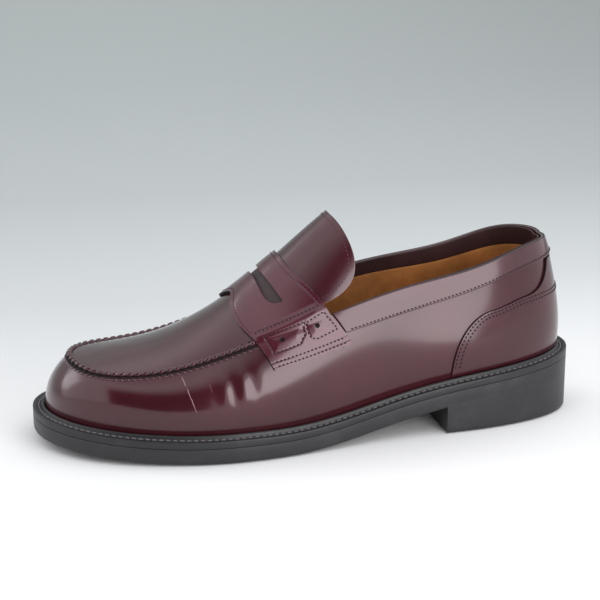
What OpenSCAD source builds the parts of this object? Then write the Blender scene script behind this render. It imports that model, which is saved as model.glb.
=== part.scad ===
// Penny loafer, left foot: moccasin-front slip-on on a 360 degree welt, millimetres, Z up.
// The toe points along -X, the outer (lateral) side along -Y, and the sole stands on z = 0.
// Every piece of the upper is a layer of one lasted skin. A place on the skin is (s, w):
// s runs 0 at the toe to 1 at the heel, w is 0 on the instep line, +-1 on the seam ridge or
// topline and +-2 on the feather line where the upper meets the welt (- is lateral).

/* [Sole] */
// length of the sole over all
sole_l = 298; // [250:1:330]
// width of the sole over the ball
ball_w = 107.5; // [92:0.5:122]
// width of the sole over the heel
heel_w = 73; // [62:0.5:84]
// height of the heel seat's rear edge over the ground
heel_rise = 22; // [16:0.5:30]
// height of the toe's tip over the ground
toe_spring = 5.5; // [2:0.5:12]
// thickness of the outsole
sole_t = 8.8; // [6:0.2:12]
// thickness of the welt at its outer shelf
welt_t = 4; // [3:0.2:5.5]
// distance from the sole's edge in to the upper
welt_w = 6.9; // [5.5:0.1:9]
// height of the welt's inner ridge over its shelf
ridge_h = 1.6; // [1:0.1:2.4]
// length of the heel block
heel_l = 80; // [60:1:90]

/* [Upper] */
// height of the topline over the welt at the back
back_h = 62.3; // [52:0.5:74]
// distance from the sole's tip in to the seam ridge
toe_in = 20.7; // [19:0.1:23]
// distance from the sole's rear edge in to the back of the upper at mid height
heel_in = 13; // [12:0.1:15]
// how far the topline leans in over that at the back
back_tuck = 4; // [2:0.1:5]
// height of the instep over the seam ridge under the strap
instep_h = 40; // [32:0.5:48]
// thickness of the upper leather
leather_t = 1.5; // [1.2:0.1:2]
// thickness of the lining leather
lining_t = 1; // [0.8:0.1:1.4]
// thickness of the toe puff and the heel stiffener
stiff_t = 0.8; // [0.6:0.1:1.2]
// height of the rolled moccasin seam over the skin
roll_h = 1.6; // [1:0.1:2.4]
// width of the rolled moccasin seam
roll_w = 2.4; // [2:0.1:3.2]
// height of the ridge that the hidden seam pushes up in the strap
strap_ridge = 0.9; // [0.5:0.1:1.4]
// height of the strap's bow over the instep line
strap_crown = 0.8; // [0:0.1:1.2]
// width of the collar band, as a share of the wall's curve
band_share = 0.2; // [0.14:0.01:0.26]
// diameter of the holes punched in the strap's ends
punch_d = 2.6; // [2:0.1:3.4]
// length of the bar slot along the strap, as a share of the instep's width
slot_share = 0.74; // [0.5:0.01:0.8]

/* [Inside] */
// thickness of the insole board
insole_t = 2.6; // [2:0.1:3.4]
// thickness of the heel sock
sock_t = 1; // [0.8:0.1:2]
// width of the steel shank
shank_w = 14; // [10:0.5:18]

/* [Output] */

/* [Hidden] */
gap = 0.1;              // air left between neighbouring pieces
tip = 0.012;            // the share of the length at which lofts start and end
loose = 0.3;            // air round a piece that is laid in
loop_n = 56;            // rings round the whole upper
drawn_ball_w = 107.5;   // the ball's width at which OUT_TURN and RIM_TURN are in millimetres
drawn_back_h = 62.3;    // the topline's height at which FOOT_PULL and RIM_PULL are in millimetres
arch_end = 0.6;         // the arch tables run from the toe to this share of the length
handle_peak = 0.75;     // a cubic's middle rises this share of its handles' height
toe_bend = 1.8;         // how late the toe turns up: the power of its curve
tuck_from = 0.75;       // the topline leans in from this share of the length on
under_reach = 40;       // millimetres below the feather line for t = -1
x_ball = -0.2 * sole_l; // the sole lies flat from here
x_lift = -0.1 * sole_l; // to here
ridge_z = sole_t + welt_t + ridge_h;

// Shares at even steps from toe to heel.
OUT_LAT = [0.727, 0.69, 0.649, 0.6, 0.538, 0.486, 0.521, 0.646, 0.731, 0.839, 0.961];
OUT_MED = [0.727, 0.697, 0.656, 0.594, 0.494, 0.377, 0.425, 0.628, 0.747, 0.855, 0.961];
OUT_TURN = [6.7, 6.4, 5.6, 4, 1.6, 0.3, 0, 0, 0, 0, 0];
RIM_LAT = [0.595, 0.597, 0.492, 0.397, 0.353, 0.353, 0.384, 0.454, 0.546, 0.617, 0.685];
RIM_MED = [0.595, 0.558, 0.433, 0.359, 0.317, 0.321, 0.381, 0.464, 0.556, 0.622, 0.685];
RIM_TURN = [6, 5.4, 4.5, 3.3, 1.6, 0.5, 0, 0, 0, 0, 0];
RIM_H = [0.455, 0.437, 0.452, 0.526, 0.709, 0.882, 0.915, 0.919, 1.015, 1.034, 1.02];
HEEL_RISE = [0, 0.1, 0.42, 0.7, 0.85, 1];
// The wall's curve: length and lean of its tangent at the feather and at the rim.
FOOT_PULL = [11, 12, 13, 14, 16.5, 19, 20, 20, 20, 20, 20];
FOOT_LEAN = [88, 86.5, 84, 82.5, 82, 82, 79.5, 78, 79, 81.5, 85];
RIM_PULL = [10, 11.5, 14, 16.5, 19.5, 20, 20, 22, 25, 26, 25];
RIM_LEAN = [42, 38.5, 38, 43, 55, 70, 82, 88, 85.5, 80, 75];
// The instep's arch over the ridge, at even steps over the front six tenths.
ARCH_H = [0, 0.048, 0.132, 0.213, 0.495, 1.035, 1.44];
ARCH_LEAN = [25, 22, 22, 27, 47, 68, 77];

// ---- curves ----
function slope(v, i) = let (n = len(v) - 1)
    i <= 0 ? 1.5 * (v[1] - v[0]) - 0.25 * (v[2] - v[0])
    : i >= n ? 1.5 * (v[n] - v[n - 1]) - 0.25 * (v[n] - v[n - 2])
    : (v[i + 1] - v[i - 1]) / 2;
// A smooth curve through values at even steps, read at t from 0 to 1.
function curve(t, v) = let (n = len(v) - 1, i = min(max(floor(t * n), 0), n - 1), u = t * n - i)
    (1 + 2 * u) * (1 - u) * (1 - u) * v[i] + u * (1 - u) * (1 - u) * slope(v, i)
    + u * u * (3 - 2 * u) * v[i + 1] + u * u * (u - 1) * slope(v, i + 1);
function ramp(t) = let (u = min(max(t, 0), 1)) u * u * (3 - 2 * u);
function mix(a, b, t) = a + (b - a) * t;
function unit(v) = v / norm(v);
function bezier(a, b, c, d, t) = (1 - t) * (1 - t) * (1 - t) * a + 3 * (1 - t) * (1 - t) * t * b
    + 3 * (1 - t) * t * t * c + t * t * t * d;

// ---- the last: sole outline, feather line, rim and skin ----
// q runs round the shoe: -1 at the heel, 0 at the toe, 1 at the heel again; - is lateral.
function wrap(q) = q > 1 ? q - 2 : q < -1 ? q + 2 : q;
function side(q) = q < 0 ? -1 : 1;
function width_at(s) = mix(ball_w, heel_w, ramp((s - 0.4) / 0.3));
function outline_raw(q) = let (s = abs(q)) [-sole_l / 2 * cos(180 * s),
    ball_w / drawn_ball_w * curve(s, OUT_TURN)
    + side(q) * width_at(s) * curve(s, q < 0 ? OUT_LAT : OUT_MED) * sin(180 * s)];
function outline(q) = outline_raw(wrap(q));
function outward(q) = let (d = outline(q + 0.001) - outline(q - 0.001)) unit([-d[1], d[0]]);
function inset(q, d) = outline(q) - d * outward(q);
function bottom_z(x) = x < x_ball ? toe_spring * pow((x_ball - x) / (x_ball + sole_l / 2), toe_bend)
    : x > x_lift ? heel_rise * curve((x - x_lift) / (sole_l / 2 - x_lift), HEEL_RISE) : 0;
// A point at a given inset and height over the sole's underside.
function on_sole(q, d, z) = let (p = inset(q, d)) [p[0], p[1], bottom_z(p[0]) + z];
function feather(q) = on_sole(q, welt_w, ridge_z);
rim_x0 = -sole_l / 2 + toe_in;
rim_x1 = sole_l / 2 - heel_in;
function rim(q) = let (s = abs(wrap(q)), k = side(wrap(q)), x = mix(rim_x0, rim_x1, (1 - cos(180 * s)) / 2)
    - back_tuck * pow(max(0, (s - tuck_from) / (1 - tuck_from)), 2))
    [x, ball_w / drawn_ball_w * curve(s, RIM_TURN)
    + k * width_at(s) * curve(s, k < 0 ? RIM_LAT : RIM_MED) * sin(180 * s),
    bottom_z(x) + ridge_z + back_h * curve(s, RIM_H)];
function pull(q, length, lean) = let (n = outward(q))
    length * [n[0] * cos(lean), n[1] * cos(lean), sin(lean)];
// The wall of the upper: t is 0 at the feather line and 1 at the rim.
function wall(q, t) = let (s = abs(wrap(q)), f = feather(q), k = back_h / drawn_back_h)
    t < 0 ? f + [0, 0, under_reach * t]
    : let (r = rim(q)) bezier(f, f + pull(q, k * curve(s, FOOT_PULL), curve(s, FOOT_LEAN)),
        r - pull(q, k * curve(s, RIM_PULL), 180 - curve(s, RIM_LEAN)), r, t);
// The arch of the instep between the two rims: v is -1 lateral and 1 medial.
function arch(s, v) = let (a = rim(-s), b = rim(s), lean = curve(s / arch_end, ARCH_LEAN),
    h = instep_h * curve(s / arch_end, ARCH_H) / handle_peak, p = [0, h / tan(lean), h])
    bezier(a, a + p, b + [0, -p[1], h], b, (v + 1) / 2);
function wall_normal(q, t) = let (u = max(t, 0.002))
    unit(cross(wall(q, u + 0.002) - wall(q, u - 0.002), wall(q + 0.002, u) - wall(q - 0.002, u)));
function arch_normal(s, v) = unit(cross(arch(s + 0.002, v) - arch(s - 0.002, v),
    arch(s, v + 0.002) - arch(s, v - 0.002)));
// Layers share a mitre along the seam ridge, which fades out where the topline starts.
function mitre(q) = let (a = wall_normal(q, 1), b = arch_normal(max(abs(q), tip), side(q)))
    (a + b) / (1 + a * b);
function wall_offset(q, t) = let (n = wall_normal(q, t),
    k = ramp((t - 0.8) / 0.2) * ramp((0.57 - abs(wrap(q))) / 0.04))
    k > 0 ? mix(n, mitre(q), k) : n;
function arch_offset(s, v) = let (n = arch_normal(s, v), k = ramp((abs(v) - 0.8) / 0.2))
    k > 0 ? mix(n, mitre(side(v) * s), k) : n;
// Points at a depth over (+) or under (-) the skin.
function on_wall(q, t, d) = wall(q, t) + d * wall_offset(q, t);
function on_arch(s, v, d) = arch(s, v) + d * arch_offset(s, v);
function on_skin(s, w, d) = abs(w) <= 1 ? on_arch(s, w, d) : on_wall(side(w) * s, 2 - abs(w), d);

// ---- solids ----
function steps(a, b, n) = [for (i = [0:n]) mix(a, b, i / n)];
function joined(lists) = [for (l = lists) each l];
function backwards(l) = [for (i = [len(l) - 1:-1:0]) l[i]];
// Six times the signed volume of a closed mesh.
function signed(points, faces) = let (v = [for (f = faces) points[f[0]] * cross(points[f[1]], points[f[2]])])
    v * [for (f = faces) 1];
// A solid through rings of equal, even length. An open one ends in caps whose faces join
// point i to its opposite number, so a ring may be a thin curved strip.
module loft(rings, closed = false) {
    m = len(rings[0]);
    n = len(rings);
    points = joined(rings);
    sides = [for (i = [0:n - (closed ? 1 : 2)], j = [0:m - 1])
        let (a = i * m + j, b = i * m + (j + 1) % m, k = ((i + 1) % n) * m - i * m)
        each [[a, b, b + k], [a, b + k, a + k]]];
    caps = closed ? [] : [for (j = [0:m / 2 - 2], e = [0, 1])
        let (o = e * (n - 1) * m, f = [[j, j + 1, m - 2 - j], [j, m - 2 - j, m - 1 - j]])
        each [for (g = f) e == 1 ? [for (x = g) x + o] : backwards(g)]];
    faces = concat(sides, caps);
    turned = signed(points, faces) > 0 ? [for (f = faces) backwards(f)] : faces;
    translate([0, -mid_y, 0]) polyhedron(points, turned, convexity = 8);
}
outline_y = [for (q = steps(-1, 1, 120)) outline(q)[1]];
mid_y = (max(outline_y) + min(outline_y)) / 2;
// A slab across the sole: edge lists [inset, height] up its side.
module slab(s0, s1, n, edge) {
    loft([for (s = steps(s0, s1, n)) concat([for (e = edge) on_sole(-s, e[0], e[1])],
        [for (e = backwards(edge)) on_sole(s, e[0], e[1])])]);
}
// A band all round the sole with a section of [inset, height] points.
module ring(n, section) {
    loft([for (i = [0:n - 1]) [for (e = section) on_sole(-1 + 2 * i / n, e[0], e[1])]], closed = true);
}
// Sheets lie between two depths: a grid is a list of rows of [q, t] or [s, w] places.
module wall_sheet(grid, top, thick, lined = false) {
    loft([for (row = grid) concat(
        [for (p = row) on_wall(p[0], p[1], lined ? -lining_z(p[0]) : top)],
        [for (p = backwards(row)) on_wall(p[0], p[1], (lined ? -lining_z(p[0]) : top) - thick)])]);
}
module skin_sheet(grid, top, thick) {
    loft([for (row = grid) concat([for (p = row) on_skin(p[0], p[1], top)],
        [for (p = backwards(row)) on_skin(p[0], p[1], top - thick)])]);
}
// Places on the wall: q along by rows of t up.
function wall_grid(qs, ts) = [for (q = qs) [for (t = ts) [wrap(q), t]]];

// ---- edges of the upper's pieces, as places on the skin ----
seam_end = 0.447;        // apron and tongue meet here, under the strap's rear bridge
roll_end = 0.405;        // the rolled seam stops here, under the strap's front edge
lining_seam = 0.523;     // the vamp's lining and the quarters' meet here
facing_low = 0.86;       // the facing's lower edge on the wall's curve
ridge_w = 0.955;         // the strap's ridge crosses the strap's middle at this place,
ridge_turn = -0.11;       // moves this far down the wall for each unit of s
ridge_half = 0.07;       // and reaches this far to each side
strap_reach = 1.333;     // the strap ends this far down the wall
overlay_t = 1.2;         // thickness of the counter cover and the collar band
STRAP_FRONT = [0.395, 0.385, 0.383, 0.39, 0.408, 0.427];
STRAP_REAR = [0.452, 0.4545, 0.4625, 0.482, 0.506, 0.528];
TONGUE_END = [0.513, 0.521, 0.5315, 0.5388, 0.531, 0.498];
BAND_DEPTH = [1, 1.12, 0.93, 0.77, 0.68, 0.66];
PUNCHES = [[0.4367, 1.061], [0.4826, 1.051]];
function strap_rise(s, w) = let (r = ridge_w + ridge_turn * (s - 0.44))
    strap_ridge * pow(max(0, 1 - pow((abs(w) - r) / ridge_half, 2)), 2)
    + strap_crown * pow(max(0, 1 - pow(w / 0.8, 2)), 2);
function strap_front(w) = curve(abs(w) / strap_reach, STRAP_FRONT);
function strap_rear(w) = curve(abs(w) / strap_reach, STRAP_REAR);
// The roll takes a strip of both the wall's top edge and the apron's edge.
function seam_share(s) = ramp((seam_end + 0.04 - s) / 0.04);
function wall_top(s) = 1 - seam_share(s) * (roll_w / 2 + gap) / (3 * curve(s, RIM_PULL));
function apron_edge(s) = 1 - (roll_w / 2 + 3 * gap) / ((rim(s)[1] - rim(-s)[1]) / 2);
function lining_z(q) = let (s = abs(wrap(q))) leather_t + gap
    + (stiff_t + gap) * max(ramp((0.3 - s) / 0.08), ramp((s - 0.6) / 0.08));
function band_low(s) = 1 - band_share * curve((s - 0.5) / 0.5, BAND_DEPTH);
// The counter cover's edge climbs a quarter ellipse, runs back and sweeps up to the band.
function counter_top(s) = 0.58 * sqrt(max(0, 1 - pow(max(0, 0.735 - s) / 0.0725, 2)))
    + 0.03 * ramp((s - 0.735) / 0.07)
    + (band_low(0.95) - 0.625) * pow(min(1, max(0, (s - 0.8) / 0.105)), 2.5);

// ---- bottom ----
// The outsole's rounded lower edge: flat from here in, a middle point, and upright from here up.
edge_flat = 1.6;
edge_in = 0.4;
edge_low = 0.5;
edge_up = 1.8;
module outsole() {
    color("#2b2b2e")
    slab(tip, 1 - tip, 44, [[edge_flat, 0], [edge_in, edge_low], [0, edge_up], [0, sole_t - 0.6],
        [0.5, sole_t]]);
}
breast_s = acos(-2 * (sole_l / 2 - heel_l) / sole_l) / 180;
// The heel laps up over the outsole's rounded lower edge, so that their sides are flush.
function heel_edge(q) = [for (e = [[1, 0, 0], [0, 0, 1], [0, 1, edge_up - 2 * gap],
    [edge_in + gap, 1, edge_low - gap], [edge_flat + gap, 1, -gap]])
    let (p = inset(q, e[0])) [p[0], p[1], e[1] * bottom_z(p[0]) + e[2]]];
module heel_block() {
    color("#262629")
    loft([for (s = steps(breast_s, 1 - tip, 16)) concat(heel_edge(-s), backwards(heel_edge(s)))]);
}
module welt() {
    shelf = sole_t + welt_t;
    color("#303034")
    ring(60, [[0.5, sole_t + gap], [0, sole_t + 0.7], [0, shelf - 0.5], [0.5, shelf], [2, shelf],
        [2.7, shelf - 0.4], [3.9, shelf - 0.4], [4.6, shelf + 0.1], [5, ridge_z - 0.3],
        [5.6, ridge_z], [welt_w - 0.3, ridge_z - 0.5], [welt_w - 0.2, sole_t + gap]]);
}
shank_t = 1.2;
board_top = ridge_z - loose;
board_in = welt_w + leather_t + stiff_t + lining_t + 4 * gap;
rib_w = 2.5;
module insole_rib() {
    color("#d8cdb4")
    ring(40, [[board_in, sole_t + gap], [board_in, board_top - insole_t - gap],
        [board_in + rib_w, board_top - insole_t - gap], [board_in + rib_w, sole_t + gap]]);
}
module cork_filler() {
    fill_in = board_in + rib_w + loose;
    color("#a9865b")
    slab(0.03, 0.46, 18, [[fill_in, sole_t + gap], [fill_in, board_top - insole_t - gap]]);
}
module shank() {
    color("#8b8d90")
    loft([for (x = steps(-0.03 * sole_l, 0.33 * sole_l, 14)) [for (k = [[-1, 0], [-1, 1], [1, 1], [1, 0]])
        [x, k[0] * shank_w / 2, bottom_z(x) + sole_t + 2 * gap + k[1] * shank_t]]]);
}
module insole() {
    color("#c9b48c")
    slab(tip, 1 - tip, 40, [[board_in, board_top - insole_t], [board_in, board_top]]);
}
module sock_lining() {
    color("#c98d4c")
    slab(0.56, 1 - tip, 22, [[board_in + loose, board_top + gap],
        [board_in + loose, board_top + gap + sock_t]]);
}

// ---- upper ----
SKIRT_ROWS = [-0.085, 0, 0.12, 0.28, 0.45, 0.62, 0.78, 0.9, 1];
module skirt() {
    color("#4e1b24")
    wall_sheet([for (q = steps(-0.997, 0.997, loop_n)) [for (t = SKIRT_ROWS)
        [q, t * (t < 0 ? 1 : wall_top(abs(q)))]]], 0, leather_t);
}
module toe_puff() {
    color("#b8ad97")
    wall_sheet(wall_grid(steps(-0.2, 0.2, 14), steps(0.02, 0.93, 4)), -leather_t - gap, stiff_t);
}
module counter_stiffener() {
    color("#b8ad97")
    wall_sheet(wall_grid(steps(0.7, 1.3, 18), steps(0.02, 0.55, 3)), -leather_t - gap, stiff_t);
}
module vamp_lining() {
    color("#c08a55")
    wall_sheet(wall_grid(steps(0.001 - lining_seam, lining_seam - 0.001, 30),
        [-0.07, 0, 0.25, 0.5, 0.75, 0.95]), 0, lining_t, true);
}
quarter_steps = steps(lining_seam + 0.001, 1.999 - lining_seam, 30);
module quarter_lining() {
    color("#c4803c")
    wall_sheet(wall_grid(quarter_steps, [-0.07, 0, 0.25, 0.5, 0.7, facing_low - 0.003]), 0, lining_t, true);
}
module collar_facing() {
    color("#2d1518")
    wall_sheet(wall_grid(quarter_steps, [facing_low, 0.93, 1]), 0, lining_t, true);
}
module moc_roll() {
    h = roll_w / 2;
    section = [[-h, -0.9], [-h, 0.3], [-0.7 * h, 0.8 * roll_h], [-0.25 * h, roll_h],
        [0.25 * h, roll_h], [0.7 * h, 0.8 * roll_h], [h, 0.3], [h, -0.9]];
    color("#571f29")
    loft([for (q = steps(-roll_end, roll_end, 44)) let (along = unit(rim(q + 0.001) - rim(q - 0.001)),
        up = unit(mitre(q)), across = cross(along, up))
        [for (p = section) rim(q) + p[0] * across + p[1] * up]]);
}
module apron() {
    color("#521d27")
    skin_sheet([for (s = steps(tip + 0.012, seam_end, 26)) [for (v = steps(-1, 1, 12))
        [s, v * apron_edge(s)]]], 0, leather_t);
}
module apron_lining() {
    color("#c08a55")
    skin_sheet([for (s = steps(0.05, seam_end, 16)) [for (v = steps(-0.9, 0.9, 10)) [s, v]]],
        -leather_t - gap, lining_t);
}
function tongue_grid(reach, trim) = [for (r = steps(0, 1, 9)) [for (u = steps(-1, 1, 18))
    [mix(seam_end + 0.0015, curve(abs(u), TONGUE_END) - trim, r), reach * sin(90 * u)]]];
module tongue() {
    color("#4e1b24")
    skin_sheet(tongue_grid(0.92, 0), 0, leather_t);
}
module tongue_lining() {
    color("#c4803c")
    skin_sheet(tongue_grid(0.91, 0.002), -leather_t - gap, lining_t);
}
slot_front = 0.4195;
slot_rear = 0.4285;
// The bar slot is a half moon: a straight rear edge and a front edge that bows up to it.
module bar_slot() {
    loft([for (u = steps(-0.998, 0.998, 30)) let (rear = slot_rear + 0.0165 * u * u,
        front = mix(slot_front + 0.006 * u * u, rear, 1 - sqrt(1 - pow(u, 8))), w = slot_share * u)
        [on_skin(front, w, -1), on_skin(front, w, 4), on_skin(rear, w, 4), on_skin(rear, w, -1)]]);
}
module punch(s, w) {
    p = on_skin(s, w, 0);
    n = unit(on_skin(s, w, 1) - p);
    translate(p - [0, mid_y, 0]) rotate([0, acos(n[2]), atan2(n[1], n[0])])
        cylinder(d = punch_d, h = 8, center = true, $fn = 24);
}
// Rings across the strap, closer over its two ridges.
STRAP_HALF = concat(steps(0, ridge_w - ridge_half, 11), steps(ridge_w - 0.6 * ridge_half,
    ridge_w + 0.6 * ridge_half, 4), steps(ridge_w + ridge_half, strap_reach, 5));
STRAP_RINGS = concat([for (w = backwards(STRAP_HALF)) -w], [for (w = STRAP_HALF) if (w > 0) w]);
module saddle_strap() {
    color("#5d2129")
    difference() {
        loft([for (w = STRAP_RINGS)
            let (edge = [for (k = steps(0, 1, 5)) mix(strap_front(w), strap_rear(w), k)])
            concat([for (s = edge) on_skin(s, w, gap + leather_t + strap_rise(s, w))],
            [for (s = backwards(edge)) on_skin(s, w, gap + strap_rise(s, w))])]);
        bar_slot();
        for (p = PUNCHES, k = [-1, 1]) punch(p[0], k * p[1]);
    }
}
module collar_band() {
    color("#471820")
    wall_sheet([for (r = steps(0, 1, 32)) [for (k = [0, 0.5, 1])
        let (start = strap_rear(1 + (1 - k) * band_share) + 0.004, h = mix(start, 2 - start, r))
        [wrap(h), mix(band_low(abs(wrap(h))), 1, k)]]], gap + overlay_t, overlay_t);
}
COUNTER_RINGS = [0.6635, 0.666, 0.673, 0.685, 0.705, 0.735, 0.77, 0.81, 0.84, 0.86, 0.876, 0.89,
    0.905, 0.95];
module counter_cover() {
    hs = concat(COUNTER_RINGS, [1], backwards([for (h = COUNTER_RINGS) 2 - h]));
    color("#4a1a22")
    wall_sheet([for (h = hs) [for (k = steps(0, 1, 5))
        [wrap(h), mix(0.02, counter_top(abs(wrap(h))), k)]]], gap + overlay_t, overlay_t);
}

outsole();
heel_block();
welt();
insole_rib();
cork_filler();
shank();
insole();
sock_lining();
skirt();
toe_puff();
counter_stiffener();
vamp_lining();
quarter_lining();
collar_facing();
moc_roll();
apron();
apron_lining();
tongue();
tongue_lining();
saddle_strap();
collar_band();
counter_cover();
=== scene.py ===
"""Penny loafer: builds the finished look of the shoe round its CAD frame."""

import math

import bpy
import numpy as np
from bpy.props import FloatProperty, FloatVectorProperty, PointerProperty
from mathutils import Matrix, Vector


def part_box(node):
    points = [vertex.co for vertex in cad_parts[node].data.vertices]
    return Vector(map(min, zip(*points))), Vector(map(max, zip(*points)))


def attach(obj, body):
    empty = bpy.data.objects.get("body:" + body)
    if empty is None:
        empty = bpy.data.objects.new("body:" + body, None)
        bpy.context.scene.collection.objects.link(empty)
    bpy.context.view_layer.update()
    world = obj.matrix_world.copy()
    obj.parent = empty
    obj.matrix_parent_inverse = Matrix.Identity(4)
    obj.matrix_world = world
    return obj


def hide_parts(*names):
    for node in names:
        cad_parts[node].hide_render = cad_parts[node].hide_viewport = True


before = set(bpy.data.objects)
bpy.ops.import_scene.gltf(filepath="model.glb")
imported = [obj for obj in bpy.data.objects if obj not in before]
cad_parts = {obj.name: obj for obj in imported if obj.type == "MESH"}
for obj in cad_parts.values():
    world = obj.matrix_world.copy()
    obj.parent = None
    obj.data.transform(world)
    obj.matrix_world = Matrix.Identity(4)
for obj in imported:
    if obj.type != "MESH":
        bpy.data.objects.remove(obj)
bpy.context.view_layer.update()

bl_info = {
    "name": "Penny loafer",
    "version": (1, 0, 0),
    "blender": (4, 5, 0),
    "location": "View3D > Sidebar > Loafer",
    "description": "Builds a welted penny loafer on its lasted form, piece by piece",
    "category": "Object",
}

MM = 0.001
TAB = "Loafer"
LATERAL, MEDIAL = -1, 1  # sides of the foot, as signs of q and w


def cad_length(node):
    """Length of a CAD node's box from front to back."""
    low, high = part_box(node)
    return float(high[0] - low[0])


SOLE_L = cad_length("welt")


# ---- sizes and colours ----
def length_prop(name, text, value, **more):
    return FloatProperty(name=name, description=text, default=value, subtype="DISTANCE", unit="LENGTH",
                         precision=5, **more)


def colour_prop(name, text, value):
    return FloatVectorProperty(name=name, description=text, default=value, subtype="COLOR", size=3,
                               min=0, max=1)


class LoaferSizes(bpy.types.PropertyGroup):
    """Sizes of the leather, the stitches and the creases."""

    leather: length_prop("Leather", "Thickness of the upper leather", 1.5 * MM)
    lining: length_prop("Lining", "Thickness of the lining leather", 1.0 * MM)
    overlay: length_prop("Overlay", "Thickness of the collar band and the counter cover", 1.2 * MM)
    edge_round: length_prop("Edge round", "Rounding of cut leather edges", 0.3 * MM)
    stitch_w: length_prop("Thread", "Width of the sewing thread", 0.85 * MM)
    stitch_step: length_prop("Stitch", "Length from one stitch to the next", 2.2 * MM)
    welt_step: length_prop("Welt stitch", "Length from one welt stitch to the next", 3.6 * MM)
    pucker_step: length_prop("Pucker", "Length from one gather of the rolled seam to the next", 4.1 * MM)
    pucker_h: FloatProperty(name="Pucker", description="Share by which stitches draw the rolled seam in",
                            default=0.55, min=0, max=0.7)
    crease_h: length_prop("Crease depth", "Depth of the soft folds behind the ball", 0.36 * MM)


class LoaferColours(bpy.types.PropertyGroup):
    """Colours of the leather, rubber and thread."""

    upper: colour_prop("Upper", "Polished upper leather", (0.035, 0.0052, 0.0078))
    strap: colour_prop("Strap", "Saddle strap leather", (0.050, 0.0072, 0.0135))
    lining: colour_prop("Lining", "Tan lining leather", (0.42, 0.17, 0.045))
    facing: colour_prop("Facing", "Dark strip inside the topline", (0.035, 0.012, 0.012))
    rubber: colour_prop("Rubber", "Sole and heel rubber", (0.0165, 0.016, 0.018))
    thread: colour_prop("Thread", "Sewing thread of the upper", (0.014, 0.004, 0.007))
    welt_thread: colour_prop("Welt thread", "Thread in the welt's channel", (0.13, 0.118, 0.125))


def sizes():
    return bpy.context.scene.loafer_sizes


def colours():
    return bpy.context.scene.loafer_colours


# ---- the lasted form ----
def ramp(t):
    u = np.clip(t, 0, 1)
    return u * u * (3 - 2 * u)


def mix(a, b, t):
    return a + (b - a) * t


def unit(v):
    return v / (np.linalg.norm(v, axis=-1, keepdims=True) + 1e-12)


def curve(t, values):
    """A curve with smooth curvature through values at even steps, read at t from 0 to 1."""
    v = np.asarray(values, float)
    n = len(v) - 1
    system = np.diag(np.full(n + 1, 4.0)) + np.diag(np.ones(n), 1) + np.diag(np.ones(n), -1)
    system[0, :2] = (1, -1)
    system[n, n - 1:] = (-1, 1)
    bend = np.zeros(n + 1)
    bend[1:-1] = 6 * (v[2:] - 2 * v[1:-1] + v[:-2])
    bend = np.linalg.solve(system, bend)
    x = np.asarray(t, float) * n
    i = np.clip(np.floor(x), 0, n - 1).astype(int)
    u = x - i
    w = 1 - u
    return w * v[i] + u * v[i + 1] + ((w ** 3 - w) * bend[i] + (u ** 3 - u) * bend[i + 1]) / 6


def bezier(a, b, c, d, t):
    t = np.asarray(t)[..., None]
    return (1 - t) ** 3 * a + 3 * (1 - t) ** 2 * t * b + 3 * (1 - t) * t * t * c + t ** 3 * d


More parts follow.
